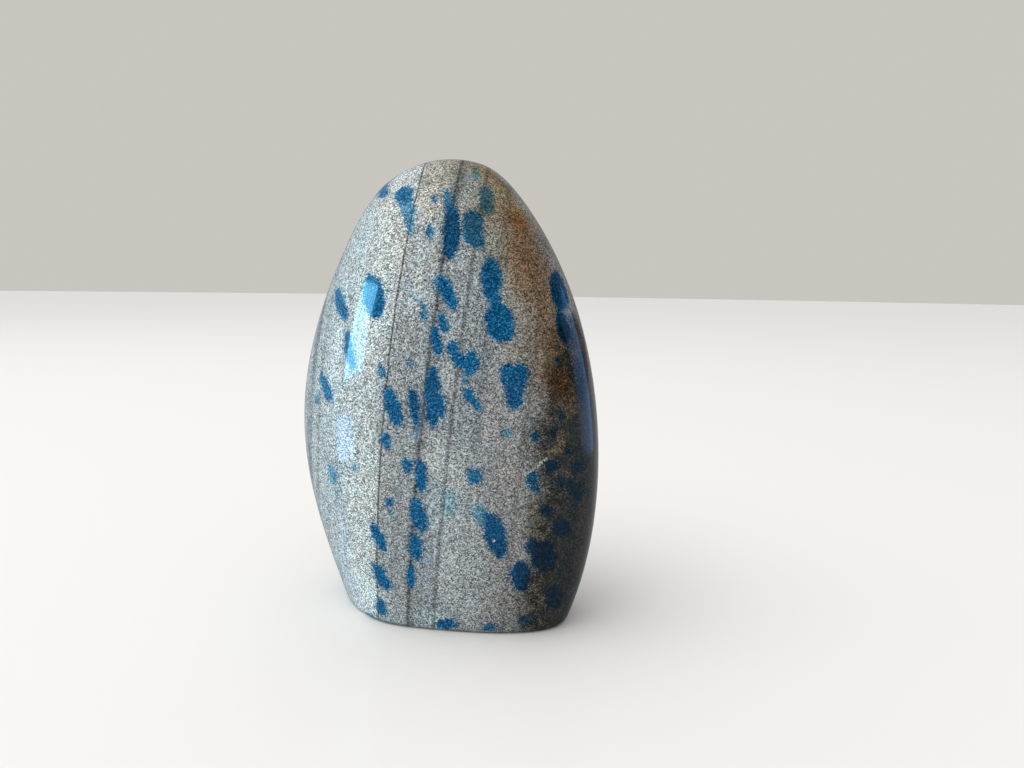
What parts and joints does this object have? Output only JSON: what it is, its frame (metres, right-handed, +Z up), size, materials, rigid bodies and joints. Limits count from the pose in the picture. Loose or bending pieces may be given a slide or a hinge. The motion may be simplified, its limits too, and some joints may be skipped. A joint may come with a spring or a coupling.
{
  "type": "azurite in granite polished stone",
  "caption": "Egg-like polished granite freeform with blue azurite spots and dark vein lines, ground flat underneath to stand upright.",
  "frame": {"origin": "on the surface that the stone stands on, under the middle of its outline", "axes": "+Z up from the flat base to the rounded top, broad spotted face towards -Y, +X to the right as that face is seen"},
  "size_m": [0.069, 0.0454, 0.101],
  "materials": {
    "azurite_granite": "polished"
  },
  "bodies": {
    "root": {"polished_stone": "azurite_granite"}
  },
  "joints": []
}
